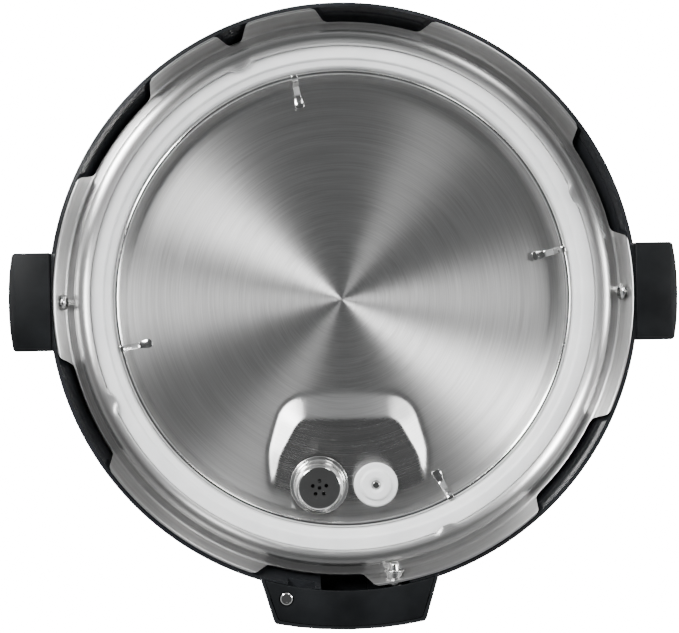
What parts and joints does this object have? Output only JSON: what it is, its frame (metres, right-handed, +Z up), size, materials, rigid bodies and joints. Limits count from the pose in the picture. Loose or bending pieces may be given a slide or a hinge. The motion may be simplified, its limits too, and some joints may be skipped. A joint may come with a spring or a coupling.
{
  "type": "pressure cooker lid",
  "caption": "Bayonet lid of a pressure cooker: pressed steel with a silicone sealing ring, black moulded cover with wings, handle, release valve, float valve and sliding lock pin.",
  "frame": {"origin": "centre of the pressed disc's underside, on its small flat", "axes": "+Z up along the lid's axis towards the handle, -Y towards the lock block, X through the two wings"},
  "size_m": [0.323, 0.3039, 0.0945],
  "materials": {
    "pressed_steel": "circular brushed stainless steel",
    "bright_steel": "polished stainless steel",
    "black_gloss": "glossy black moulding",
    "black_matte": "fine-textured black moulding",
    "silicone": "milky translucent silicone",
    "seal_washer": "grey silicone",
    "magnet": "coated magnet"
  },
  "bodies": {
    "lid": {"pressed_lid": "pressed_steel", "sealing_ring": "silicone", "ring_rack": "bright_steel", "vent_pipe": "bright_steel", "vent_washer": "seal_washer", "vent_nut": "bright_steel", "centre_stud": "bright_steel", "centre_nut": "bright_steel", "centre_washer": "bright_steel", "centre_cap": "black_gloss", "handle_grip": "black_gloss", "handle_trim": "pressed_steel", "handle_screw_left": "bright_steel", "handle_screw_right": "bright_steel", "sensor_magnet": "magnet", "lock_spring": "bright_steel", "pin_bush": "bright_steel", "anti_block_shield": "bright_steel", "outer_cover": "black_gloss", "valve_tray": "black_gloss", "wing_plate_left": "black_matte", "wing_plate_right": "black_matte", "lock_cover": "black_matte", "lock_cover_screw": "bright_steel", "rim_screw_left": "bright_steel", "rim_screw_right": "bright_steel", "rack_clip_1": "bright_steel", "rack_clip_2": "bright_steel", "rack_clip_3": "bright_steel", "rack_clip_4": "bright_steel"},
    "release_weight_body": {"release_weight": "bright_steel"},
    "release_knob_body": {"release_knob": "black_gloss", "knob_insert": "bright_steel"},
    "float_valve": {"float_pin": "bright_steel", "float_cap": "silicone"},
    "lock_slide": {"lock_slider": "black_matte", "lock_pin": "bright_steel"}
  },
  "joints": [
    {"name": "release_lift", "type": "slide", "parent": "lid", "child": "release_weight_body", "axis": [0, 0, 1], "range_m": [0, 0.003]},
    {"name": "release_turn", "type": "hinge", "parent": "release_weight_body", "child": "release_knob_body", "pos_m": [0.0136, -0.0936, 0.0223], "axis": [0, 0, 1], "range_deg": [-40, 40]},
    {"name": "float_rise", "type": "slide", "parent": "lid", "child": "float_valve", "axis": [0, 0, 1], "range_m": [0, 0.005]},
    {"name": "lock_push", "type": "slide", "parent": "lid", "child": "lock_slide", "axis": [0, -1, 0], "range_m": [0, 0.005], "stiffness_N_per_m": 200, "deforming": ["lock_spring"]}
  ]
}
